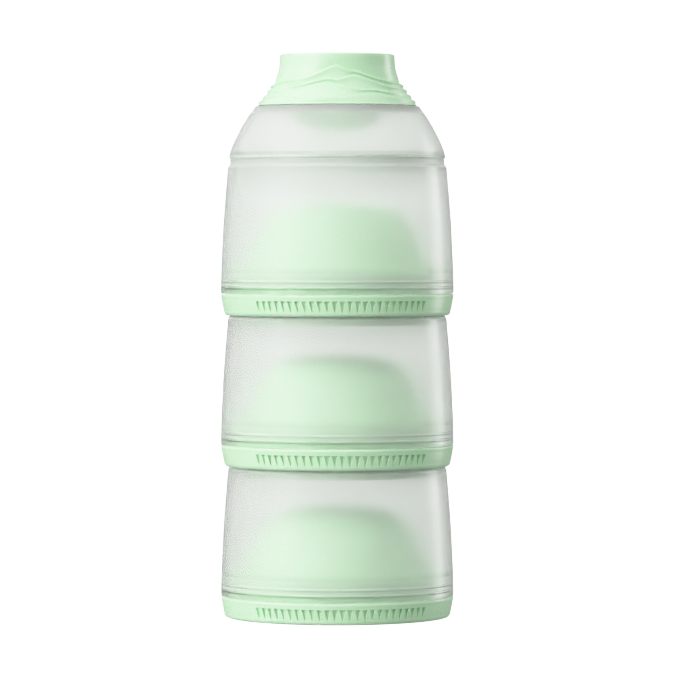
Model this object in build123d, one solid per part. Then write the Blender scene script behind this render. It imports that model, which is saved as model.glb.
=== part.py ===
from build123d import *
import os
from math import atan2, cos, sin

# Stacking formula dispenser, in millimetres: three tiers that screw onto each other, a funnel lid
# that screws onto the top one, and a cap that pushes onto the funnel's spout.
# +Z is up and the front faces -Y. The origin is the centre of the circle that the bottom base
# stands on. Every outline is drawn as (radius, height) and turned about Z. A tier is drawn once,
# with height 0 at the underside of its base, and then lifted into place.

# --- stack ---------------------------------------------------------------------------------
TIERS = ("bottom", "middle", "top")
TIER_PITCH = 52.0            # height from one base's underside to the next
CAP_TOP = 193.8              # height of the whole dispenser
EDGE = 0.3                   # small bevel on the rims of moulded parts
FIT_GAP = 0.05               # between a seal and the groove that it sits in

# --- shell: the frosted wall of a tier -----------------------------------------------------
BODY_R = 40.15               # largest radius, just above the base
SHELL_FOOT = 7.6             # where the wall starts, above the base's ledge
WALL_START = 10.0            # below this the wall is straight
WALL_MID_R = 39.33           # the wall bows outwards a little between foot and shoulder
SHOULDER_R = 37.75
SHOULDER_Z = 50.4
WALL = 1.8
NECK_R = 36.9
NECK_FOOT_Z = 51.85
NECK_RISE = 1.9              # the neck stands this far above the tier's height of one pitch
BORE_R = 35.3                # inside of the neck
BORE_DEPTH = 4.4             # straight part of the bore, below the joint plane
INNER_TOP = (36.25, 46.0)    # ends of the bowed inner face of the wall
INNER_FOOT = (38.3, 16.0)
SOCKET_R = 38.1              # inside of the shell's foot, over the base's collar
SOCKET_TOP = 14.6

# --- base: grip ring, collar and dome ------------------------------------------------------
LEDGE_Z = 7.4
LEDGE_SEAT_Z = 7.1           # floor of the seal's seat on the ledge
LEDGE_SEAT_R = 39.4
FOOT_R = 38.0                # outer edge of the flat underside of the grip ring
COLLAR_R = 37.9
COLLAR_TOP = 14.5
COLLAR_WALL = 1.6
COLLAR_EDGE = 0.9
GRIP_LOW = (39.25, 2.0)      # where the grip ring's side turns into its rounded lower corner
HOLLOW_LOW = 5.4             # upright stretch of the hollow behind the collar
HOLLOW_HIGH = 12.3
BEAD_HEIGHTS = (9.6, 11.7)   # snap beads on the collar and their grooves in the shell
BEAD_HALF = 0.6
BEAD_RISE = 0.4
GROOVE_RISE = 0.3
DOME_TOP = 39.2
DOME_WALL = 1.5
DOME_OUTLINE = ((35.4, 14.75), (32.2, 16.4), (29.6, 21.3), (27.4, 26.7), (23.4, 33.0), (16.0, 37.6))
RECESS_R = 37.25             # clears the neck of the tier below
CEILING_Z = 2.6              # face that the neck seal is pressed against
WEB = 1.6
STAND_R = 35.2               # inner edge of the bottom base's standing face

# --- grip ticks: two groups of small wedges on the grip ring -------------------------------
TICK_COUNT = 25
TICK_STEP = 3.75             # degrees
TICK_GROUPS = (-87.5, 92.5)  # middle of the front and back groups, degrees from +X
TICK_WIDTH = 1.5
TICK_LOW = 1.6
TICK_HIGH = 5.2
TICK_FLOOR_R = 39.0

# --- screw joint between a tier and what stands on it --------------------------------------
LEAD = 5.6                   # rise in one turn
STARTS = 2
SPIGOT_R = 34.3
SPIGOT_WALL = 1.5
SPIGOT_DROP = 3.3            # below the joint plane
RIDGE_RISE = 0.7             # radial height of both threads
RIDGE_ROOT = 1.4
RIDGE_CREST = 0.7
RIDGE_SINK = 0.3             # the ridges' roots go this far into the wall
MALE_START_Z = -2.5
MALE_TURN = 170.0            # degrees covered by each start
FEMALE_TURN = 140.0
SEAL_R = (35.4, 36.6)        # flat ring between neck and ceiling
SEAT_GAP = 0.1               # room round the funnel's seal

# --- funnel lid, in heights above the joint plane of the top tier --------------------------
FUNNEL_RIM_Z = 2.05
FUNNEL_RIM_R = 37.4
FUNNEL_WALL = 1.6
FUNNEL_OUTLINE = ((36.85, 4.4), (35.6, 7.5), (33.2, 12.3), (30.9, 16.1), (29.2, 18.5))
FUNNEL_LEDGE_R = 28.2        # outer edge of the ledge under the cap
FUNNEL_LEDGE_Z = 19.9
CONE_R = 24.2
SPOUT_R = 17.8
SPOUT_BORE_R = 16.2
SPOUT_ROOT_Z = 25.6
SPOUT_TOP_Z = 28.9

# --- cap, plug and plug seal ---------------------------------------------------------------
CAP_RIM_Z = 176.1
CAP_RIM_INNER_R = 24.9
CAP_WALL = 1.6
CAP_EDGE = 0.5
CAP_OUTLINE = ((27.0, 176.1), (25.3, 178.4), (23.1, 181.3), (21.65, 184.7), (20.35, 188.8), (19.75, 193.2))
RELIEF_STEP = 0.3            # thickness of each layer of the dune relief
DUNES = (                    # top edge of each layer as (side, height), from the inner layer out
    ((-28.5, 183.4), (-15, 184.6), (-6.5, 187.6), (1, 190.2), (8.5, 187.0), (17, 184.2), (28.5, 183.4)),
    ((-28.5, 181.0), (-17, 182.0), (-9, 184.2), (-1.5, 187.2), (7, 184.0), (17.5, 181.8), (28.5, 181.0)),
    ((-28.5, 178.6), (-18, 179.4), (-8, 181.2), (4.5, 184.2), (12, 181.6), (20, 179.4), (28.5, 178.6)),
)
PLUG_R = 15.6
PLUG_WALL = 1.4
PLUG_FLANGE_R = 17.0
PLUG_FLANGE = 1.6
PLUG_HOLDER_R = 17.05        # recess in the cap that the plug's flange snaps into
PLUG_HOLDER_DEPTH = 2.6
PLUG_TIP_Z = 167.0
PLUG_TIP_RISE = 6.5
PLUG_SEAL_Z = 183.0
PLUG_SEAL_HALF = 0.8
PLUG_SEAL_R = (14.9, 16.1)


def turned(outline):
    """Solid of revolution about Z of a closed outline drawn as (radius, height)."""
    return revolve(Plane.XZ * make_face(outline.edges()), axis=Axis.Z)


def washer(inner, outer, low, high, edge=0.2):
    """Flat ring with rounded corners."""
    corners = ((inner, low), (outer, low), (outer, high), (inner, high))
    return turned(FilletPolyline(*corners, radius=edge, close=True))


def inset(points, depth):
    """The same points moved inwards by depth, square to the line that runs through them."""
    moved = []
    for i, (r, z) in enumerate(points):
        before = points[max(i - 1, 0)]
        after = points[min(i + 1, len(points) - 1)]
        heading = atan2(after[1] - before[1], after[0] - before[0])
        moved.append((r - depth * sin(heading), z + depth * cos(heading)))
    return moved


def beads(radius, rise):
    """Points of a straight upright wall that swells out at each bead height, from the top down."""
    points = []
    for height in reversed(BEAD_HEIGHTS):
        points += [(radius, height + BEAD_HALF), (radius + rise, height), (radius, height - BEAD_HALF)]
    return points


def ridges(root_r, crest_r, start_z, turn):
    """The helical ridges of one thread, one for each start, standing on a wall of radius root_r."""
    outwards = 1 if crest_r > root_r else -1
    foot = root_r - outwards * RIDGE_SINK
    path = Pos(0, 0, start_z) * Helix(pitch=LEAD, height=LEAD * turn / 360, radius=root_r)
    half_root = RIDGE_ROOT / 2
    half_crest = RIDGE_CREST / 2
    corners = ((foot, -half_root), (root_r, -half_root), (crest_r, -half_crest),
               (crest_r, half_crest), (root_r, half_root), (foot, half_root))
    section = Plane.XZ * Pos(0, start_z) * make_face(Polyline(*corners, close=True).edges())
    ridge = sweep(section, path=path, is_frenet=True)
    return [Rot(0, 0, 360 / STARTS * i) * ridge for i in range(STARTS)]


def shell():
    """Frosted wall: open at both ends, snapped over the collar below, threaded inside its neck."""
    neck_top = TIER_PITCH + NECK_RISE
    mid_z = (WALL_START + SHOULDER_Z) / 2
    bore_foot = TIER_PITCH - BORE_DEPTH
    shoulder_mid = ((SHOULDER_R + NECK_R) / 2 + 0.15, (SHOULDER_Z + NECK_FOOT_Z) / 2 + 0.15)
    outside = Polyline((SOCKET_R, SHELL_FOOT), (BODY_R - EDGE, SHELL_FOOT), (BODY_R, SHELL_FOOT + EDGE),
                       (BODY_R, WALL_START))
    outside += ThreePointArc((BODY_R, WALL_START), (WALL_MID_R, mid_z), (SHOULDER_R, SHOULDER_Z))
    outside += ThreePointArc((SHOULDER_R, SHOULDER_Z), shoulder_mid, (NECK_R, NECK_FOOT_Z))
    outside += Polyline((NECK_R, NECK_FOOT_Z), (NECK_R, neck_top - EDGE), (NECK_R - EDGE, neck_top),
                        (BORE_R + EDGE, neck_top), (BORE_R, neck_top - EDGE), (BORE_R, bore_foot),
                        INNER_TOP)
    inside = ThreePointArc(INNER_TOP, (WALL_MID_R - WALL, mid_z), INNER_FOOT)
    inside += Polyline(INNER_FOOT, (SOCKET_R, SOCKET_TOP), *beads(SOCKET_R, GROOVE_RISE),
                       (SOCKET_R, SHELL_FOOT))
    female_start = TIER_PITCH + MALE_START_Z + LEAD / STARTS / 2
    body = turned(outside + inside)
    for ridge in ridges(BORE_R, BORE_R - RIDGE_RISE, female_start, FEMALE_TURN):
        body += ridge
    return body


def ticks():
    """Wedges to be cut from the grip ring: wide at the top, pointed at the bottom."""
    wedge_face = Plane.YZ * make_face(Polyline(
        (-TICK_WIDTH / 2, TICK_HIGH), (TICK_WIDTH / 2, TICK_HIGH), (0, TICK_LOW), close=True).edges())
    wedge = Pos(TICK_FLOOR_R, 0, 0) * extrude(wedge_face, amount=BODY_R - TICK_FLOOR_R + 1)
    first = -TICK_STEP * (TICK_COUNT - 1) / 2
    return [Rot(0, 0, middle + first + TICK_STEP * i) * wedge
            for middle in TICK_GROUPS for i in range(TICK_COUNT)]


def base(has_spigot):
    """Grip ring, collar and dome in one moulding. The bottom one stands flat and has no spigot."""
    hollow_r = SPIGOT_R - SPIGOT_WALL
    collar_inner = COLLAR_R - COLLAR_WALL
    inner_dome = inset(DOME_OUTLINE, DOME_WALL)
    if has_spigot:
        underside = [(RECESS_R, 0), (RECESS_R, CEILING_Z), (SPIGOT_R, CEILING_Z),
                     (SPIGOT_R, -SPIGOT_DROP), (hollow_r, -SPIGOT_DROP)]
    else:
        underside = [(STAND_R, 0), (STAND_R, CEILING_Z), (hollow_r, CEILING_Z)]
    outline = Spline(*DOME_OUTLINE, (0, DOME_TOP), tangents=((-1, 0.15), (-1, 0)))
    outline += Polyline(DOME_OUTLINE[0], (COLLAR_R - COLLAR_EDGE, COLLAR_TOP),
                        (COLLAR_R, COLLAR_TOP - COLLAR_EDGE),
                        *beads(COLLAR_R, BEAD_RISE), (COLLAR_R, LEDGE_SEAT_Z),
                        (LEDGE_SEAT_R, LEDGE_SEAT_Z), (LEDGE_SEAT_R, LEDGE_Z), (BODY_R - EDGE, LEDGE_Z),
                        (BODY_R, LEDGE_Z - EDGE))
    outline += Spline((BODY_R, LEDGE_Z - EDGE), (39.75, 4.6), GRIP_LOW)
    outline += ThreePointArc(GRIP_LOW, (38.85, 0.6), (FOOT_R, 0))
    outline += Polyline((FOOT_R, 0), *underside, (hollow_r, CEILING_Z + WEB),
                        (collar_inner, HOLLOW_LOW), (collar_inner, HOLLOW_HIGH), inner_dome[0])
    outline += Spline(*inner_dome, (0, DOME_TOP - DOME_WALL), tangents=((-1, 0.15), (-1, 0)))
    outline += Line((0, DOME_TOP - DOME_WALL), (0, DOME_TOP))
    body = turned(outline) - ticks()
    if has_spigot:
        for ridge in ridges(SPIGOT_R, SPIGOT_R + RIDGE_RISE, MALE_START_Z, MALE_TURN):
            body += ridge
    return body


def funnel():
    """Frosted cone over the top tier, with a threaded spigot below and a spout above."""
    hollow_r = SPIGOT_R - SPIGOT_WALL
    flange_top = CEILING_Z + WEB
    inner_wall = inset(FUNNEL_OUTLINE, FUNNEL_WALL)
    rise = SPOUT_ROOT_Z - FUNNEL_LEDGE_Z
    run = CONE_R - SPOUT_R
    slant = (rise ** 2 + run ** 2) ** 0.5
    cone_foot = (CONE_R - FUNNEL_WALL * rise / slant, FUNNEL_LEDGE_Z - FUNNEL_WALL * run / slant)
    cone_head = (SPOUT_BORE_R, cone_foot[1] + (cone_foot[0] - SPOUT_BORE_R) * rise / run)
    seat_r = SEAL_R[1] + SEAT_GAP
    outline = Polyline(FUNNEL_OUTLINE[0], (FUNNEL_RIM_R, FUNNEL_RIM_Z + EDGE),
                       (FUNNEL_RIM_R - EDGE, FUNNEL_RIM_Z),
                       (seat_r, FUNNEL_RIM_Z), (seat_r, CEILING_Z), (SPIGOT_R, CEILING_Z),
                       (SPIGOT_R, -SPIGOT_DROP), (hollow_r, -SPIGOT_DROP), (hollow_r, flange_top),
                       inner_wall[0])
    outline += Spline(*inner_wall)
    outline += Polyline(inner_wall[-1], cone_foot, cone_head, (SPOUT_BORE_R, SPOUT_TOP_Z - EDGE),
                        (SPOUT_BORE_R + EDGE, SPOUT_TOP_Z), (SPOUT_R - EDGE, SPOUT_TOP_Z),
                        (SPOUT_R, SPOUT_TOP_Z - EDGE), (SPOUT_R, SPOUT_ROOT_Z), (CONE_R, FUNNEL_LEDGE_Z),
                        (FUNNEL_LEDGE_R, FUNNEL_LEDGE_Z), FUNNEL_OUTLINE[-1])
    outline += Spline(*FUNNEL_OUTLINE)
    body = turned(outline)
    for ridge in ridges(SPIGOT_R, SPIGOT_R + RIDGE_RISE, MALE_START_Z, MALE_TURN):
        body += ridge
    return body


def cap():
    """Flared cap with soft dune layers round its skirt and a recess that holds the plug."""
    plate_z = CAP_TOP - CAP_WALL
    inner = [(CAP_RIM_INNER_R, CAP_RIM_Z), *inset(CAP_OUTLINE, CAP_WALL)[1:-1]]
    core = Spline(*CAP_OUTLINE) + Spline(*inner)
    core += Polyline(CAP_OUTLINE[-1], (CAP_OUTLINE[-1][0] - CAP_EDGE, CAP_TOP), (0, CAP_TOP),
                     (0, plate_z), (PLUG_HOLDER_R, plate_z), (PLUG_HOLDER_R, plate_z - PLUG_HOLDER_DEPTH),
                     inner[-1])
    core += Line(inner[0], CAP_OUTLINE[0])
    body = turned(core)
    backing = [(r - RELIEF_STEP, z) for r, z in CAP_OUTLINE]
    for step, dune in enumerate(DUNES, start=1):
        side = [(r + step * RELIEF_STEP, z) for r, z in CAP_OUTLINE]
        layer = Spline(*side) + Line(side[-1], backing[-1]) + Spline(*backing) + Line(backing[0], side[0])
        skirt = [(end, CAP_RIM_Z - 1) for end in (dune[-1][0], dune[0][0])]
        below = Spline(*dune) + Polyline(dune[-1], *skirt, dune[0])
        front = extrude(Plane.XZ * make_face(below.edges()), amount=BODY_R)
        for turn in (0, 180):
            body += turned(layer) & (Rot(0, 0, turn) * front)
    return body


def cap_plug():
    """Hollow stopper with a domed tip, held in the cap by its flange."""
    top = CAP_TOP - CAP_WALL
    shoulder_z = PLUG_TIP_Z + PLUG_TIP_RISE
    inner_r = PLUG_R - PLUG_WALL
    groove = PLUG_SEAL_HALF + FIT_GAP
    bowl = {"start_angle": 270, "arc_size": 90}
    outline = EllipticalCenterArc((0, shoulder_z), PLUG_R, PLUG_TIP_RISE, **bowl)
    outline += Polyline((PLUG_R, shoulder_z), (PLUG_R, PLUG_SEAL_Z - groove),
                        (PLUG_SEAL_R[0], PLUG_SEAL_Z - groove), (PLUG_SEAL_R[0], PLUG_SEAL_Z + groove),
                        (PLUG_R, PLUG_SEAL_Z + groove), (PLUG_R, top - PLUG_FLANGE),
                        (PLUG_FLANGE_R, top - PLUG_FLANGE), (PLUG_FLANGE_R, top), (inner_r, top),
                        (inner_r, shoulder_z))
    outline += EllipticalCenterArc((0, shoulder_z), inner_r, PLUG_TIP_RISE - PLUG_WALL, **bowl)
    outline += Line((0, PLUG_TIP_Z), (0, PLUG_TIP_Z + PLUG_WALL))
    return turned(outline)


def build():
    """Every sub-part in its place, by name."""
    joint_z = TIER_PITCH * len(TIERS)
    neck_seal = washer(*SEAL_R, NECK_RISE, CEILING_Z)
    base_seal = washer(COLLAR_R + FIT_GAP, LEDGE_SEAT_R - FIT_GAP, LEDGE_SEAT_Z, SHELL_FOOT, edge=0.1)
    plug_seal = (PLUG_SEAL_Z - PLUG_SEAL_HALF, PLUG_SEAL_Z + PLUG_SEAL_HALF)
    wall = shell()
    raised_base = base(has_spigot=True)
    parts = {}
    for level, tier in enumerate(TIERS):
        lift = Pos(0, 0, TIER_PITCH * level)
        parts[f"{tier}_shell"] = lift * wall
        parts[f"{tier}_base_seal"] = lift * base_seal
        parts[f"{tier}_base"] = lift * raised_base if level else base(has_spigot=False)
        if level:
            parts[f"{tier}_neck_seal"] = lift * neck_seal
    parts["funnel"] = Pos(0, 0, joint_z) * funnel()
    parts["funnel_seal"] = Pos(0, 0, joint_z) * neck_seal
    parts["cap"] = cap()
    parts["cap_plug"] = cap_plug()
    parts["cap_seal"] = washer(*PLUG_SEAL_R, *plug_seal, edge=0.3)
    return parts


os.makedirs("parts", exist_ok=True)
for name, solid in build().items():
    solid.label = name
    export_step(solid, f"parts/{name}.step")
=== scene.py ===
import bpy
import math
from mathutils import Matrix, Vector


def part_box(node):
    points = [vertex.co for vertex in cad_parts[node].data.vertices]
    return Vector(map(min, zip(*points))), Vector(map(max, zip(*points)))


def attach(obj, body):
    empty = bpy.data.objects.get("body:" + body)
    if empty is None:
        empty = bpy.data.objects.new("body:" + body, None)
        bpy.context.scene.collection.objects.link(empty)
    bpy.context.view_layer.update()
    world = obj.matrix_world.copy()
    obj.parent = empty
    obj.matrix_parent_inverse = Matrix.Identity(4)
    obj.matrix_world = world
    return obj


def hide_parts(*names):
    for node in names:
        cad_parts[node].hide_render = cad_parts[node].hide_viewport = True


# Stacking formula dispenser: three frosted tiers on green bases, a frosted funnel lid and a green
# cap. Outlines are (radius, height) in millimetres. A tier's heights count from the underside of
# its base, the funnel's from the joint below it, and the cap's from its lower rim.
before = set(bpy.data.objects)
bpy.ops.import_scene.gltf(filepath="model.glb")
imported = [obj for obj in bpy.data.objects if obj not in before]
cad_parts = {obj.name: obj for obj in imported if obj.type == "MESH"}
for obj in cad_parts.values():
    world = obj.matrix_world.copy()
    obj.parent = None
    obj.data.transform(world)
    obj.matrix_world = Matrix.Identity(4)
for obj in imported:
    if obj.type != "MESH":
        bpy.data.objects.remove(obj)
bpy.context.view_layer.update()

MM = 0.001
TIERS = ("bottom", "middle", "top")

PITCH = 52.0                 # height from one base's underside to the next

# --- shell: the frosted wall of a tier -----------------------------------------------------
SHELL_FOOT = 7.6
BODY_R = 40.15
WALL_SIDE = ((BODY_R, 10.0), (39.95, 17.0), (39.33, 30.2), (38.6, 40.2), (37.75, 50.4))
NECK_R = 36.9
NECK_TOP = 53.9
NECK_EDGE_Z = 50.9           # the wall is thick above this
SHOULDER = ((37.75, 50.4), (37.48, 51.25), (NECK_R + 0.1, 51.8))
BORE_R = 35.3                # inside of the neck
BORE_TOP = 53.5              # ends of the thread's stretch of the bore
BORE_FOOT = 48.4
WALL_INSIDE = ((BORE_R + 0.03, 48.0), (35.6, 45.6), (36.3, 41.5), (37.0, 36.5), (37.53, 30.2),
               (38.1, 21.5), (38.3, 16.0))
SOCKET_R = 38.1              # inside of the wall's foot, over the base's collar
SOCKET_TOP = 14.6
FOOT_TOP = 10.1              # the foot of the wall is clearer below this

# --- base: grip ring, collar and dome ------------------------------------------------------
LEDGE_Z = 7.4                # top of the grip ring
SEAT_Z = 7.1                 # floor of the seal's seat in the ledge
SEAT_R = 39.4
GRIP_EDGE = ((39.55, LEDGE_Z), (39.7, LEDGE_Z), (39.93, LEDGE_Z - 0.1), (40.08, LEDGE_Z - 0.32))
GRIP_SIDE = ((BODY_R, LEDGE_Z - 0.65), (39.95, 5.9), (39.75, 4.6), (39.48, 3.2), (39.25, 2.0))
GRIP_CORNER = ((39.08, 1.2), (38.92, 0.75), (38.68, 0.38), (38.4, 0.13), (38.1, 0.0))
COLLAR_R = 37.9
COLLAR_TOP = 14.5
COLLAR_INSIDE_R = 36.3
COLLAR_HOLLOW = (5.4, 12.3)  # lower and upper end of the hollow behind the collar
BEADS = (9.6, 11.7)          # heights of the snap beads
BEAD_HALF = 0.6
BEAD_RISE = 0.4
GROOVE_RISE = 0.3            # the beads' grooves in the shell
DOME = ((35.4, 14.75), (32.2, 16.4), (29.6, 21.3), (27.4, 26.7), (23.4, 33.0), (16.0, 37.6), (0, 39.2))
DOME_WALL = 1.5
RECESS_R = 37.25             # clears the neck of the tier below
STAND_R = 35.2               # inner edge of the bottom base's standing face
CEILING_Z = 2.6              # face that the neck seal is pressed against
WEB_Z = 4.2

# --- spigot under a base or the funnel -----------------------------------------------------
SPIGOT_R = 34.3
HOLLOW_R = 32.8
SPIGOT_DROP = 3.3

# --- threads -------------------------------------------------------------------------------
LEAD = 5.6                   # rise in one turn
STARTS = 2
RIDGE_RISE = 0.7
RIDGE_ROOT = 1.4             # width of a ridge at its root and at its crest
RIDGE_CREST = 0.7
RIDGE_RUN_OUT = 5            # degrees over which a ridge fades at its ends
MALE_START = -2.5            # height at which a ridge starts
MALE_TURN = 170.0            # degrees that it runs for
FEMALE_START = PITCH + MALE_START + LEAD / STARTS / 2
FEMALE_TURN = 140.0
THREAD_ROWS = 22

# --- funnel and cap ------------------------------------------------------------------------
FUNNEL_SIDE = ((36.85, 4.4), (35.6, 7.5), (33.2, 12.3), (30.9, 16.1), (29.2, 18.5), (28.2, 19.9))
FUNNEL_WALL = 1.6
FUNNEL_EDGE_Z = 17.6         # the funnel is thick above this
FUNNEL_LIP = (37.4, 2.05)    # lower edge of its side, which stands over the neck
SPOUT_R = 17.8
SPOUT_BORE_R = 16.2
SPOUT_TOP = 28.9
CAP_SIDE = ((27.5, 0.0), (25.85, 2.1), (23.65, 4.8), (21.9, 7.6), (20.8, 10.3), (20.05, 13.1),
            (19.75, 17.0))
CAP_INSIDE = ((23.9, 1.3), (21.8, 4.3), (20.2, 7.9), (18.75, 12.3))
CAP_EDGE = ((19.72, 17.25), (19.6, 17.5), (19.35, 17.65), (19.0, 17.7), (17.6, 17.7))
CAP_FACE = ((17.3, 17.7), (17.0, 17.62), (16.7, 17.5), (16.3, 17.45), (8.0, 17.45), (0, 17.45))
PLUG_R = 15.6
PLUG_BORE_R = 14.2
PLUG_WAIST = -2.6            # where the plug's round tip starts
PLUG_TIP = 6.5               # depth of the tip
PLUG_WALL = 1.4
PLUG_GROOVE = (14.9, 6.05, 7.75)  # radius, underside and top of the seal's groove
PLUG_FLANGE = (17.0, 14.5)   # radius and underside of the flange that the cap holds
PLUG_TOP = 16.1

# --- seals: inner and outer radius, underside, top, and how far the edges are rounded ------
BASE_SEAL = (37.95, 39.35, SEAT_Z, SHELL_FOOT, 0.1)
NECK_SEAL = (35.4, 36.6, 1.9, CEILING_Z, 0.2)
CAP_SEAL = (14.9, 16.1, 6.1, 7.7, 0.3)

# --- grip ticks ----------------------------------------------------------------------------
TICK_COUNT = 25
TICK_STEP = 3.75             # degrees
TICK_GROUPS = (-87.5, 92.5)  # middle of each group, in degrees
TICK_HALF = 0.85             # half the width at the top, where a tick is widest and deepest
TICK_DEPTH = 1.05
TICK_TAPER = 0.6             # how much shallower a tick is at its lower end
TICK_LOW = 1.6
TICK_HIGH = 5.2
TICK_LOW_R = 39.15           # the ring's radius at the ticks' lower ends
TICK_RIM = 0.12              # width of the rounded rim round each tick
TICK_STEPS = 6

# --- dune relief round the cap -------------------------------------------------------------
# Each crest, from the lowest up: height at the sides, then bumps as (height, angle, half width),
# with the angle from the front in degrees.
CRESTS = (
    (1.8, ((2.2, 30, 30), (1.0, -48, 22))),
    (3.6, ((4.2, -10, 30), (1.0, 58, 20))),
    (5.5, ((5.2, 16, 24), (1.4, -52, 22))),
    (7.1, ((7.0, 0, 24), (1.6, -44, 18), (1.6, 46, 18))),
)
CREST_START = 0.35           # height of the lowest layer's foot
CREST_GAP = 1.5              # least height between two crests
CREST_WAVE = 0.16            # height of the small waves along a crest
CREST_RISE = 0.65            # how far a layer stands out at its crest
CREST_FOOT = -0.10           # and at its foot, beside the crest below
CREST_GROOVE = 0.30          # depth of the groove above the highest crest
CREST_LIP = 0.75             # height of the rounded lip at a crest
CREST_STEP = 0.08            # height of the step from a lip down to the next layer's foot

COLUMNS = 128                # round a plain turned piece
CAP_COLUMNS = 360            # round the relief
COARSER = 3                  # relief columns to one column of the cap's plain parts
SHARP_DEGREES = 38           # an edge that bends more than this is shaded as a corner


# --- outlines ------------------------------------------------------------------------------
def smooth(points, steps=5, beyond=None):
    """Catmull-Rom curve through the points, both ends included. beyond is where it would go on."""
    ends = [tuple(2 * a - b for a, b in zip(points[0], points[1])), *points,
            beyond or tuple(2 * a - b for a, b in zip(points[-1], points[-2]))]
    out = [tuple(points[0])]
    for a, b, c, d in zip(ends, ends[1:], ends[2:], ends[3:]):
        for i in range(1, steps + 1):
            t = i / steps
            out.append(tuple(0.5 * (2 * q + (r - p) * t + (2 * p - 5 * q + 4 * r - s) * t * t
                                    + (3 * q - p - 3 * r + s) * t ** 3) for p, q, r, s in zip(a, b, c, d)))
    return out


def inset(points, depth):
    """The same points moved inwards by depth, square to the line that runs through them."""
    moved = []
    for i, (r, z) in enumerate(points):
        before = points[max(i - 1, 0)]
        after = points[min(i + 1, len(points) - 1)]
        heading = math.atan2(after[1] - before[1], after[0] - before[0])
        moved.append((r - depth * math.sin(heading), z + depth * math.cos(heading)))
    return moved


def rounded(corners, steps=4, closed=True):
    """An outline whose corners given as (r, z, size) are rounded off, size away from the corner."""
    def towards(a, b, size):
        length = math.dist(a[:2], b[:2])
        t = min(size, length * 0.45) / length
        return a[0] + (b[0] - a[0]) * t, a[1] + (b[1] - a[1]) * t

    out = []
    count = len(corners)
    for i, corner in enumerate(corners):
        if len(corner) < 3 or not closed and i in (0, count - 1):
            out.append(tuple(corner[:2]))
            continue
        start = towards(corner, corners[i - 1], corner[2])
        end = towards(corner, corners[(i + 1) % count], corner[2])
        for k in range(steps + 1):
            t = k / steps
            out.append(tuple(a * (1 - t) ** 2 + 2 * b * t * (1 - t) + c * t * t
                             for a, b, c in zip(start, corner, end)))
    return out


def beads(radius, rise):
    """Points of a straight upright wall that swells out at each bead height, from the top down."""
    points = []
    for height in reversed(BEADS):
        points += [(radius, height + BEAD_HALF, 0.15), (radius + rise, height, 0.3),
                   (radius, height - BEAD_HALF, 0.15)]
    return points


def upright(radius, top, foot, rows):
    """Evenly spaced points down a straight wall, without its ends."""
    return [(radius, top + (foot - top) * i / rows) for i in range(1, rows)]


def radius_at(side, z):
    """Radius at a height on a side given as points in order of height."""
    for (r0, z0), (r1, z1) in zip(side, side[1:]):
        if min(z0, z1) <= z <= max(z0, z1):
            return r0 + (r1 - r0) * (z - z0) / (z1 - z0)
    return side[-1][0]


# --- meshes turned round Z -----------------------------------------------------------------
def angles(count):
    return [2 * math.pi * i / count for i in range(count)]


class Turning:
    """A closed mesh made of rows of points round the Z axis, each row joined to the next."""

    def __init__(self):
        self.verts = []
        self.faces = []
        self.slots = []
        self.rows = []

    def row(self, points, slot=0, anchors=None):
        """Adds a row of (x, y, z) points. One point is a pole. anchors are the places in this row
        that meet the points of a coarser row beside it."""
        first = len(self.verts)
        self.verts += points
        self.rows.append((list(range(first, len(self.verts))), slot, anchors))

    def ring(self, r, z, around, slot=0, anchors=None):
        """Adds a round row, or a pole where r is 0."""
        if r < 1e-6:
            self.row([(0, 0, z)], slot)
        else:
            self.row([(r * math.cos(a), r * math.sin(a), z) for a in around], slot, anchors)

    def join(self, first, second):
        """Faces between two rows. A finer row is joined to a coarser one by its anchors."""
        (a, _, a_anchors), (b, slot, b_anchors) = first, second
        if len(a) == 1 or len(b) == 1:
            ring, pole = (b, a[0]) if len(a) == 1 else (a, b[0])
            made = [[ring[i], ring[(i + 1) % len(ring)], pole] for i in range(len(ring))]
            if len(a) == 1:
                made = [face[::-1] for face in made]
        elif len(a) == len(b):
            made = [[a[i], a[(i + 1) % len(a)], b[(i + 1) % len(b)], b[i]] for i in range(len(a))]
        else:
            fine, coarse, anchors = (a, b, a_anchors) if len(a) > len(b) else (b, a, b_anchors)
            made = []
            for i in range(len(coarse)):
                start, end = anchors[i], anchors[(i + 1) % len(anchors)]
                end += len(fine) if end <= start else 0
                run = [fine[k % len(fine)] for k in range(start, end + 1)]
                face = run + [coarse[(i + 1) % len(coarse)], coarse[i]]
                made.append(face if fine is a else face[::-1])
        self.faces += made
        self.slots += [slot] * len(made)

    def finish(self, name, materials, closed):
        """The piece as an object. A closed one also has its last row joined to its first."""
        pairs = list(zip(self.rows, self.rows[1:]))
        if closed:
            pairs.append((self.rows[-1], self.rows[0]))
        for first, second in pairs:
            self.join(first, second)
        mesh = bpy.data.meshes.new(name)
        mesh.from_pydata([[c * MM for c in v] for v in self.verts], [], self.faces)
        for material in materials:
            mesh.materials.append(material)
        mesh.polygons.foreach_set("material_index", self.slots)
        mesh.polygons.foreach_set("use_smooth", [True] * len(mesh.polygons))
        mesh.set_sharp_from_angle(angle=math.radians(SHARP_DEGREES))
        mesh.update()
        piece = bpy.data.objects.new(name, mesh)
        bpy.context.scene.collection.objects.link(piece)
        weighted = piece.modifiers.new("even_shading", "WEIGHTED_NORMAL")
        weighted.keep_sharp = True
        weighted.weight = 80
        return piece


def turned(name, outline, materials, slots=None, shape=None, closed=True):
    """A piece turned from an outline. slots picks a material for each outline point, and shape
    returns the radius at (angle, r, z)."""
    work = Turning()
    around = angles(COLUMNS)
    for i, (r, z) in enumerate(outline):
        slot = slots(i, r, z) if slots else 0
        if shape and r > 0:
            radii = [shape(a, r, z) for a in around]
            work.row([(q * math.cos(a), q * math.sin(a), z) for q, a in zip(radii, around)], slot)
        else:
            work.ring(r, z, around, slot)
    return work.finish(name, materials, closed)


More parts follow.
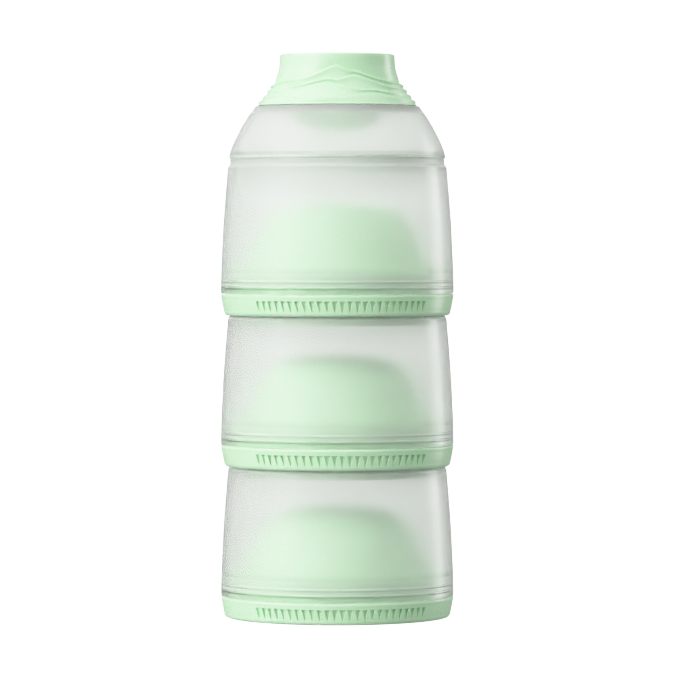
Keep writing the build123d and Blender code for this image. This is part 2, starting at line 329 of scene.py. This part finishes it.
def ridge(angle, z, start, turn):
    """How far the thread stands up at an angle and height, from 0 to 1."""
    best = 0.0
    for i in range(STARTS):
        along = (math.degrees(angle) - 360 / STARTS * i) % 360
        off = abs(z - start - LEAD * along / 360)
        flank = (RIDGE_ROOT / 2 - off) / ((RIDGE_ROOT - RIDGE_CREST) / 2)
        ends = min(along, turn - along) / RIDGE_RUN_OUT
        best = max(best, min(1.0, flank, ends))
    return best


def threaded(radius, low, high, start, turn, rise):
    """A shape for turned(): a wall of this radius between two heights carries a thread."""
    def shape(angle, r, z):
        if abs(r - radius) > 1e-6 or not low < z < high:
            return r
        return r + rise * ridge(angle, z, start, turn)
    return shape


SPIGOT_THREAD = threaded(SPIGOT_R, -SPIGOT_DROP + 0.3, CEILING_Z - 0.2, MALE_START, MALE_TURN, RIDGE_RISE)
BORE_THREAD = threaded(BORE_R, BORE_FOOT, BORE_TOP, FEMALE_START, FEMALE_TURN, -RIDGE_RISE)


# --- materials -----------------------------------------------------------------------------
class Nodes:
    """Short way to build one material's nodes."""

    def __init__(self, name):
        self.material = bpy.data.materials.new(name)
        self.material.use_nodes = True
        self.tree = self.material.node_tree
        self.shader = self.tree.nodes["Principled BSDF"]
        self.place = self.add("ShaderNodeTexCoord").outputs["Object"]

    def add(self, kind, inputs=(), **settings):
        node = self.tree.nodes.new(kind)
        for key, value in settings.items():
            setattr(node, key, value)
        for key, value in dict(inputs).items():
            if isinstance(value, bpy.types.NodeSocket):
                self.tree.links.new(value, node.inputs[key])
            else:
                node.inputs[key].default_value = value
        return node

    def noise(self, size_mm, detail=3.0, roughness=0.55):
        """Noise with features of about this size."""
        return self.add("ShaderNodeTexNoise", {"Vector": self.place, "Scale": 1 / (size_mm * MM),
                                               "Detail": detail, "Roughness": roughness}).outputs["Fac"]

    def ramp(self, value, low, high):
        """Value, taken as 0 to 1, spread between two numbers."""
        return self.add("ShaderNodeMapRange", {"Value": value, "From Min": 0.25, "From Max": 0.75,
                                               "To Min": low, "To Max": high}).outputs["Result"]

    def blend(self, value, first, second):
        """A colour between two, by value."""
        node = self.add("ShaderNodeMix", {0: value}, data_type="RGBA")
        node.inputs[6].default_value = (*first, 1)
        node.inputs[7].default_value = (*second, 1)
        return node.outputs[2]

    def bump(self, height, depth_mm):
        return self.add("ShaderNodeBump", {"Height": height, "Distance": depth_mm * MM}).outputs["Normal"]

    def feed(self, **inputs):
        """Sets the shader's inputs, by name with _ for a space: constants on the socket itself."""
        for key, value in inputs.items():
            socket = self.shader.inputs[key.replace("_", " ")]
            if isinstance(value, bpy.types.NodeSocket):
                self.tree.links.new(value, socket)
            else:
                socket.default_value = value
        return self.material


def frosted(name, roughness, clear):
    """Blasted polypropylene: blurs what is behind it and has a milky haze of its own. clear is how
    much of the light goes through."""
    n = Nodes(name)
    fine = n.noise(0.28, detail=2)
    cloud = n.noise(9.0, detail=2)
    colour = n.blend(cloud, (0.960, 0.985, 0.955), (0.945, 0.975, 0.940))
    rough = n.ramp(fine, roughness - 0.015, roughness + 0.015)
    return n.feed(Base_Color=colour, Roughness=rough, IOR=1.4, Transmission_Weight=clear,
                  Normal=n.bump(fine, 0.006))


def green_plastic(name, colour, roughness):
    """Pale green moulded plastic with a fine satin texture."""
    n = Nodes(name)
    fine = n.noise(0.25, detail=2)
    cloud = n.noise(12.0, detail=3)
    shade = n.blend(cloud, colour, tuple(c * 0.97 for c in colour))
    rough = n.ramp(fine, roughness - 0.05, roughness + 0.05)
    return n.feed(Base_Color=shade, Roughness=rough, IOR=1.49, Specular_IOR_Level=0.75,
                  Subsurface_Weight=0.25, Subsurface_Radius=(1.0, 1.0, 1.0),
                  Subsurface_Scale=1.5 * MM, Normal=n.bump(fine, 0.012))


def silicone(name):
    """Soft, dull, pale green."""
    n = Nodes(name)
    fine = n.noise(0.5, detail=2)
    return n.feed(Base_Color=n.blend(fine, (0.66, 0.86, 0.65), (0.70, 0.89, 0.69)), IOR=1.41,
                  Roughness=n.ramp(fine, 0.42, 0.55), Normal=n.bump(fine, 0.01))


# The faces of a frosted piece, by place in its list of materials.
OUTSIDE, INSIDE, THREAD, THICK, FOOT = range(5)
FROST = [frosted("frosted_outside", 0.24, 0.79), frosted("frosted_inside", 0.36, 0.92),
         frosted("frosted_thread", 0.60, 0.80), frosted("frosted_thick", 0.30, 0.73),
         frosted("frosted_foot", 0.24, 0.97)]
GREEN = green_plastic("green_satin", (0.47, 0.745, 0.465), 0.27)
# Parts inside the walls get a lighter, greener copy of the same plastic. This is painted light that makes up
# for the light the frosted walls hold back from them.
GREEN_INSIDE_LIGHTENED = green_plastic("green_inner_lightened", (0.48, 0.81, 0.48), 0.5)
SEAL = silicone("silicone")


# --- pieces --------------------------------------------------------------------------------
def settle(piece, height, node, body):
    """Lifts a piece to its CAD node's height, puts it on its body and hides the CAD node."""
    piece.data.transform(Matrix.Translation((0, 0, height * MM)))
    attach(piece, body)
    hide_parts(node)
    return piece


def shell(name):
    """Frosted wall of one tier, with its socket, shoulder, neck and the thread in its bore."""
    corners = [(SOCKET_R, SHELL_FOOT, 0.2), (BODY_R, SHELL_FOOT, 0.15), *smooth(WALL_SIDE, 6),
               *smooth(SHOULDER, 4)[1:], (NECK_R, 52.1, 0.15), (NECK_R, NECK_TOP, 0.35),
               (BORE_R, NECK_TOP, 0.3), *upright(BORE_R, BORE_TOP, BORE_FOOT, THREAD_ROWS),
               *smooth(WALL_INSIDE), (SOCKET_R, SOCKET_TOP, 0.3), *beads(SOCKET_R, GROOVE_RISE)]
    outline = rounded(corners)
    first_inside = next(i for i, (r, z) in enumerate(outline) if z > NECK_TOP - 1e-6 and r < NECK_R - 0.9)

    def face(i, r, z):
        if abs(r - BORE_R) < 0.01:
            return THREAD
        if r > BODY_R - 0.6 and z < FOOT_TOP:
            return FOOT
        if r > NECK_R - 0.3 and z > NECK_EDGE_Z:
            return THICK
        # The first few points are the lower corner of the socket.
        return INSIDE if i > first_inside or i < 6 else OUTSIDE
    return turned(name, outline, FROST, slots=face, shape=BORE_THREAD)


def tick_cells():
    """Angles of the coarse columns, and for each whether a tick lies between it and the next."""
    columns = []
    half = TICK_STEP * TICK_COUNT / 2
    for group, middle in enumerate(TICK_GROUPS):
        columns += [(middle - half + TICK_STEP * i, True) for i in range(TICK_COUNT)]
        gap_start = middle + half
        gap = (TICK_GROUPS[(group + 1) % 2] - half - gap_start) % 360
        plain = round(gap / TICK_STEP)
        columns += [(gap_start + gap * i / plain, False) for i in range(plain)]
    return [(math.radians(a), has_tick) for a, has_tick in columns]


def grip_row(work, cells, r, z, inside):
    """A fine row of the grip ring's side. inside is None above and below the ticks, and otherwise
    their (half width, depth) at this height."""
    points, anchors = [], []
    half, depth = inside or (TICK_RIM, 0.0)
    edge = TICK_RIM / 2
    offsets = ((-half - 3 * edge, 0), (-half - edge, 0), (-max(half - edge, edge / 2), depth), (0, depth),
               (max(half - edge, edge / 2), depth), (half + edge, 0), (half + 3 * edge, 0))
    for angle, has_tick in cells:
        anchors.append(len(points))
        points.append((r * math.cos(angle), r * math.sin(angle), z))
        if has_tick:
            middle = angle + math.radians(TICK_STEP / 2)
            for side, sunk in offsets:
                turn = middle + side / r
                points.append(((r - sunk) * math.cos(turn), (r - sunk) * math.sin(turn), z))
    work.row(points, 0, anchors)


def grip_side():
    """Rows of the grip ring's side from its top edge down: (r, z, None or (half width, depth))."""
    side = smooth(GRIP_SIDE, 4)

    def radius(z):
        return radius_at(side, z) if z > GRIP_SIDE[-1][1] else TICK_LOW_R

    rows = [(r, z, None) for r, z in (*GRIP_EDGE, side[0])]
    rows += [(radius(z), z, None) for z in (6.3, 5.8)]
    for above in (0.25, 0.06):
        z = TICK_HIGH + above
        rows.append((radius(z), z, (TICK_HALF, 0.0)))
    highest = TICK_HIGH - 0.10
    for i in range(TICK_STEPS + 1):
        t = i / TICK_STEPS
        z = highest - (highest - TICK_LOW - 0.15) * t
        rows.append((radius(z), z, (TICK_HALF * (1 - t) + 0.02, TICK_DEPTH - TICK_TAPER * t)))
    rows += [(r, z, None) for r, z in ((TICK_LOW_R, TICK_LOW), *GRIP_CORNER)]
    return rows


def base(name, has_spigot):
    """Grip ring, collar and dome. The bottom one stands flat and has no spigot."""
    cells = tick_cells()
    around = [angle for angle, _ in cells]
    dome = smooth(DOME, 7, beyond=(-DOME[-2][0], DOME[-2][1]))
    inner_dome = [p for p in inset(dome, DOME_WALL) if p[0] > 1.0] + [(0.0, DOME[-1][1] - DOME_WALL)]
    top = rounded([(0, DOME[-1][1]), *[p for p in reversed(dome) if p[0] > 0.5],
                   (COLLAR_R, COLLAR_TOP, 0.9), *beads(COLLAR_R, BEAD_RISE), (COLLAR_R, SEAT_Z, 0.15),
                   (SEAT_R, SEAT_Z, 0.1), (SEAT_R, LEDGE_Z)], closed=False)
    if has_spigot:
        under = [(RECESS_R, 0.0), (RECESS_R, CEILING_Z, 0.3), (SPIGOT_R, CEILING_Z, 0.2),
                 *upright(SPIGOT_R, CEILING_Z, -SPIGOT_DROP, THREAD_ROWS), (SPIGOT_R, -SPIGOT_DROP, 0.3),
                 (HOLLOW_R, -SPIGOT_DROP, 0.3), (HOLLOW_R, WEB_Z, 0.4)]
    else:
        under = [(STAND_R, 0.0), (STAND_R, CEILING_Z, 0.3), (HOLLOW_R, CEILING_Z, 0.4),
                 (HOLLOW_R, WEB_Z, 0.4)]
    low, high = COLLAR_HOLLOW
    lower = rounded([*under, (COLLAR_INSIDE_R, low, 0.5), (COLLAR_INSIDE_R, high, 0.6), *inner_dome],
                    closed=False)
    work = Turning()
    # The dome takes the lighter inside green, which is painted light.
    for r, z in top:
        work.ring(r, z, around, int(r < COLLAR_R - 0.6))
    for r, z, inside in grip_side():
        grip_row(work, cells, r, z, inside)
    for r, z in lower:
        if has_spigot and r > 0:
            radii = [SPIGOT_THREAD(a, r, z) for a in around]
            work.row([(q * math.cos(a), q * math.sin(a), z) for q, a in zip(radii, around)])
        else:
            work.ring(r, z, around)
    return work.finish(name, [GREEN, GREEN_INSIDE_LIGHTENED], closed=False)


def funnel(name):
    """Frosted cone with a threaded spigot below and a spout above."""
    side = smooth(FUNNEL_SIDE)
    # The last few points of the inner wall give way to the foot of the spout.
    inner_wall = inset(side, FUNNEL_WALL)[:-6]
    top_r, top_z = FUNNEL_SIDE[-1]
    corners = [*side[:-1], (top_r, top_z, 0.3), (24.2, top_z, 0.4), (SPOUT_R, 25.6, 0.5),
               (SPOUT_R, SPOUT_TOP, 0.4), (SPOUT_BORE_R, SPOUT_TOP, 0.4), (SPOUT_BORE_R, 25.2, 0.5),
               (23.4, 18.4, 0.8), *reversed(inner_wall), (35.1, WEB_Z, 0.2), (HOLLOW_R, WEB_Z, 0.4),
               (HOLLOW_R, -SPIGOT_DROP, 0.4), (SPIGOT_R, -SPIGOT_DROP, 0.3),
               *reversed(upright(SPIGOT_R, CEILING_Z, -SPIGOT_DROP, THREAD_ROWS)),
               (SPIGOT_R, CEILING_Z, 0.1), (36.7, CEILING_Z, 0.1), (36.7, FUNNEL_LIP[1], 0.1),
               (*FUNNEL_LIP, 0.3)]
    outline = rounded(corners)
    first_inside = next(i for i, (r, z) in enumerate(outline) if z > SPOUT_TOP - 0.01 and r < SPOUT_R - 0.8)
    last_inside = next(i for i, (r, z) in enumerate(outline) if i > first_inside and z < -SPIGOT_DROP + 0.01)

    def face(i, r, z):
        if z < CEILING_Z - 0.01 and r < SPIGOT_R + 0.01:
            return THREAD
        if i < first_inside and z > FUNNEL_EDGE_Z:
            return THICK
        return INSIDE if first_inside < i < last_inside else OUTSIDE
    return turned(name, outline, FROST[:FOOT], slots=face, shape=SPIGOT_THREAD)


def crest_heights(angle):
    """Height of each dune crest at an angle from the front, in degrees, lowest first. The back has
    the same bumps as the front."""
    heights = []
    for k, (level, bumps) in enumerate(CRESTS):
        height = level + CREST_WAVE * math.sin(math.radians(angle * (5 + k) + 70 * k))
        for rise, middle, half in bumps:
            for turn in (0, 180):
                off = (angle - middle - turn + 180) % 360 - 180
                height += rise * math.exp(-(math.hypot(off, 4) / half) ** 1.5)
        if heights:
            least = heights[-1] + CREST_GAP
            # The larger of the two, with a soft change from one to the other.
            height = (height + least + math.hypot(height - least, 0.5)) / 2
        heights.append(height)
    return heights


def cap_column(side, angle):
    """(r, z) of one column of the cap's side, from the rim up. The front is at -90 degrees."""
    heights = crest_heights((math.degrees(angle) + 90 + 180) % 360 - 180)
    points = []
    low = CREST_START
    for crest, foot in zip(heights, [CREST_FOOT] * (len(heights) - 1) + [-CREST_GROOVE]):
        body = crest - CREST_LIP - low
        # A low layer stands out less.
        rise = min(CREST_RISE, 0.35 + 0.3 * body)
        for i in range(6):
            t = i / 6
            z = low + body * t
            points.append((radius_at(side, z) + CREST_FOOT + (rise - CREST_FOOT) * t ** 1.3, z))
        for i in range(6):
            t = i / 5
            z = crest - CREST_LIP + CREST_LIP * t
            points.append((radius_at(side, z) + foot + (rise - foot) * math.sqrt(1 - t * t), z))
        low = crest + CREST_STEP
    top = side[-1][1] - 0.3
    for i in range(8):
        z = low + (top - low) * (i / 7) ** 1.6
        points.append((radius_at(side, z) - CREST_GROOVE * math.exp(-((z - low) / 1.3) ** 2), z))
    return points


def cap(name):
    """Flared cap. Rows of its side follow the dune crests, so that each lip is a clean edge."""
    around = angles(CAP_COLUMNS)
    anchors = list(range(0, CAP_COLUMNS, COARSER))
    coarse = [around[i] for i in anchors]
    side = smooth(CAP_SIDE, 8)
    columns = [cap_column(side, a) for a in around]
    flange_r = PLUG_FLANGE[0] + 0.05
    inside = [(24.9, 0.0, 0.2), *smooth(CAP_INSIDE, 4), (flange_r, 13.5, 0.2), (flange_r, PLUG_TOP, 0.1),
              (0, PLUG_TOP)]
    work = Turning()
    for r, z in reversed(rounded(inside, closed=False)):
        work.ring(r, z, coarse)
    rim = CAP_SIDE[0][0]
    for r, z in ((25.6, 0.0), (rim - 0.3, 0.0), (rim - 0.05, 0.1)):
        work.ring(r, z, around, 0, anchors)
    for i in range(len(columns[0])):
        work.row([(p[i][0] * math.cos(a), p[i][0] * math.sin(a), p[i][1])
                  for p, a in zip(columns, around)], 0, anchors)
    for r, z in CAP_EDGE:
        work.ring(r, z, around, 0, anchors)
    for r, z in CAP_FACE:
        work.ring(r, z, coarse)
    return work.finish(name, [GREEN], closed=False)


def cap_plug(name):
    """Hollow stopper with a domed tip. Heights count from the cap's rim."""
    def bowl(radius, depth, steps=12):
        """Round tip from its lowest point out to its waist."""
        turns = [math.pi / 2 * i / steps for i in range(1, steps + 1)]
        return [(0, PLUG_WAIST - depth),
                *[(radius * math.sin(a), PLUG_WAIST - depth * math.cos(a)) for a in turns]]

    groove_r, groove_low, groove_high = PLUG_GROOVE
    flange_r, flange_low = PLUG_FLANGE
    corners = [*bowl(PLUG_R, PLUG_TIP), (PLUG_R, groove_low, 0.1), (groove_r, groove_low, 0.1),
               (groove_r, groove_high, 0.1), (PLUG_R, groove_high, 0.1), (PLUG_R, flange_low, 0.2),
               (flange_r, flange_low, 0.3), (flange_r, PLUG_TOP, 0.2), (PLUG_BORE_R, PLUG_TOP, 0.2),
               *reversed(bowl(PLUG_BORE_R, PLUG_TIP - PLUG_WALL))]
    # The plug takes the lighter inside green too, which is painted light.
    return turned(name, rounded(corners, closed=False), [GREEN_INSIDE_LIGHTENED], closed=False)


def washer(name, inner, outer, low, high, edge):
    """A flat ring with rounded edges."""
    corners = [(inner, low, edge), (outer, low, edge), (outer, high, edge), (inner, high, edge)]
    return turned(name, rounded(corners), [SEAL])


def build():
    """Every piece, at the height of its CAD node."""
    for level, tier in enumerate(TIERS):
        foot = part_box(f"{tier}_shell")[0].z / MM - SHELL_FOOT
        body = f"{tier}_tier"
        settle(shell(f"{tier}_shell_piece"), foot, f"{tier}_shell", body)
        settle(base(f"{tier}_base_piece", level > 0), foot, f"{tier}_base", body)
        settle(washer(f"{tier}_base_seal_piece", *BASE_SEAL), foot, f"{tier}_base_seal", body)
        if level:
            settle(washer(f"{tier}_neck_seal_piece", *NECK_SEAL), foot, f"{tier}_neck_seal",
                   f"{tier}_neck_ring")
    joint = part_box("funnel")[0].z / MM + SPIGOT_DROP
    settle(funnel("funnel_piece"), joint, "funnel", "funnel_lid")
    settle(washer("funnel_seal_piece", *NECK_SEAL), joint, "funnel_seal", "funnel_neck_ring")
    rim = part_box("cap")[0].z / MM
    settle(cap("cap_piece"), rim, "cap", "cap_assembly")
    settle(cap_plug("cap_plug_piece"), rim, "cap_plug", "cap_assembly")
    settle(washer("cap_seal_piece", *CAP_SEAL), rim, "cap_seal", "cap_assembly")


# --- studio --------------------------------------------------------------------------------
# The sky as four kinds of ray meet it: a middle level, how much brighter it is towards +X, +Y and
# +Z, and how much brighter again it grows from the horizon up.
DIFFUSE_SKY = (0.63, (-0.05, 0.00, 0.45), 0.1)  # lights the matt part of a surface
MIRROR_SKY = (0.80, (0.10, -0.10, 0.06), 1.7)   # what the surfaces mirror
THROUGH_SKY = (0.94, (0.36, -0.05, 0), 3.4)     # what is seen through the frosted walls
INNER_SKY = (0.26, (0.14, 0.05, 0), 2.5)        # lights the inside through those walls
# Bright patches of the sky: the direction that each lies in, and the cosines of the angles from it
# where the patch starts and where it is full.
KEY_FROM, KEY_COSINES = (-0.80, -0.54, 0.32), (0.89, 0.985)
KEY_LEVEL = 10.0
KEY_MIRRORED = 2.0           # its level as the surfaces mirror it
INNER_FROM, INNER_COSINES = (-0.68, -0.54, 0.50), (0.90, 0.97)
INNER_LEVEL = 30.0
MIRROR_BEHIND = 0.50         # share of the sky behind the object that the surfaces mirror
WHITE = 2.0                  # scene brightness that shows as full white
TONE = ((0.35, 0.35), (0.55, 0.54), (0.8, 0.737), (1.05, 0.865), (1.3, 0.939), (1.6, 0.98))

# Camera, in metres.
CAMERA_AT = (0.00093, -1.56, 0.1332)
CAMERA_AIM = (0.00093, 0, 0.0954)
CAMERA_LENS = 239.4          # millimetres
FLOOR_HALF = 6.0


def area_light(name, at, towards, size, watts):
    """A rectangular lamp that the camera doesn't see."""
    data = bpy.data.lights.new(name, "AREA")
    data.shape = "RECTANGLE"
    data.size, data.size_y = size
    data.energy = watts
    light = bpy.data.objects.new(name, data)
    light.location = at
    light.rotation_euler = (Vector(towards) - Vector(at)).to_track_quat("-Z", "Y").to_euler()
    light.visible_camera = False
    bpy.context.scene.collection.objects.link(light)


def sky():
    """White to the camera. Other rays meet one of four skies, by their kind: all grow brighter from
    the horizon up, and all but the one seen through the walls have a bright patch at the left."""
    world = bpy.data.worlds.new("studio")
    bpy.context.scene.world = world
    world.use_nodes = True
    world.cycles.sampling_method = "NONE"
    tree = world.node_tree

    def add(kind, *values, **settings):
        node = tree.nodes.new(kind)
        for key, value in settings.items():
            setattr(node, key, value)
        for socket, value in zip(node.inputs, values):
            if isinstance(value, bpy.types.NodeSocket):
                tree.links.new(value, socket)
            elif value is not None:
                socket.default_value = value
        return node

    def calc(operation, first, second):
        return add("ShaderNodeMath", first, second, operation=operation).outputs[0]

    def choose(share, first, second):
        return add("ShaderNodeMix", share, None, first, second).outputs[0]

    place = add("ShaderNodeTexCoord").outputs["Generated"]
    path = add("ShaderNodeLightPath").outputs

    def along(towards):
        return add("ShaderNodeVectorMath", place, towards, operation="DOT_PRODUCT").outputs["Value"]

    def broad(middle, lean, overhead):
        rise = calc("MAXIMUM", along((0, 0, overhead)), 0.0)
        return calc("ADD", calc("ADD", along(lean), rise), middle)

    def patch(towards, cosines, level):
        return add("ShaderNodeMapRange", along(Vector(towards).normalized()), *cosines, 0.0, level,
                   interpolation_type="SMOOTHSTEP").outputs["Result"]

    diffuse = calc("ADD", broad(*DIFFUSE_SKY), patch(KEY_FROM, KEY_COSINES, KEY_LEVEL))
    behind = add("ShaderNodeMapRange", along((0, 1, 0)), -0.4, 0.6, 1.0, MIRROR_BEHIND).outputs["Result"]
    mirror = calc("ADD", broad(*MIRROR_SKY), patch(KEY_FROM, KEY_COSINES, KEY_MIRRORED))
    mirror = calc("MULTIPLY", mirror, behind)
    inner = calc("ADD", broad(*INNER_SKY), patch(INNER_FROM, INNER_COSINES, INNER_LEVEL))
    through = choose(calc("GREATER_THAN", path["Diffuse Depth"], 0.5), broad(*THROUGH_SKY), inner)
    # A ray that a rough wall lets through counts as glossy too, so that kind is chosen last.
    level = choose(path["Is Glossy Ray"], diffuse, mirror)
    level = choose(path["Is Transmission Ray"], level, through)
    light = add("ShaderNodeBackground", (1, 1, 1, 1), level).outputs[0]
    seen = add("ShaderNodeBackground", (1, 1, 1, 1), WHITE).outputs[0]
    mix = add("ShaderNodeMixShader", path["Is Camera Ray"], light, seen).outputs[0]
    tree.links.new(mix, tree.nodes["World Output"].inputs["Surface"])


def floor():
    """A plain white floor that lights nothing: the sky does that."""
    mesh = bpy.data.meshes.new("floor")
    corners = [(FLOOR_HALF * x, FLOOR_HALF * y, 0) for x, y in ((-1, -1), (1, -1), (1, 1), (-1, 1))]
    mesh.from_pydata(corners, [], [(0, 1, 2, 3)])
    mesh.materials.append(Nodes("floor").feed(
        Base_Color=(0, 0, 0, 1), Roughness=1.0, Specular_IOR_Level=0.0,
        Emission_Color=(1, 1, 1, 1), Emission_Strength=WHITE))
    plane = bpy.data.objects.new("floor", mesh)
    plane.visible_diffuse = plane.visible_glossy = plane.visible_transmission = plane.visible_shadow = False
    bpy.context.scene.collection.objects.link(plane)


def camera():
    """Long lens from the front, looking down a little."""
    eye = bpy.data.objects.new("camera", bpy.data.cameras.new("camera"))
    eye.location = CAMERA_AT
    eye.rotation_euler = (Vector(CAMERA_AIM) - eye.location).to_track_quat("-Z", "Y").to_euler()
    eye.data.lens = CAMERA_LENS
    eye.data.sensor_width = 36
    bpy.context.scene.collection.objects.link(eye)
    bpy.context.scene.camera = eye


def tone_curve():
    """Bends the highlights over softly, up to WHITE."""
    view = bpy.context.scene.view_settings
    view.view_transform = "Standard"
    view.use_curve_mapping = True
    tone = view.curve_mapping
    tone.clip_max_x = WHITE
    curve = tone.curves[3]
    curve.points[1].location = (WHITE, 1.0)
    for at, value in TONE:
        curve.points.new(at, value)
    tone.update()


def studio():
    sky()
    floor()
    area_light("edge", at=(1.2, 0.7, 0.25), towards=(0, 0, 0.1), size=(0.4, 1.0), watts=4.5)
    camera()
    tone_curve()


build()
studio()
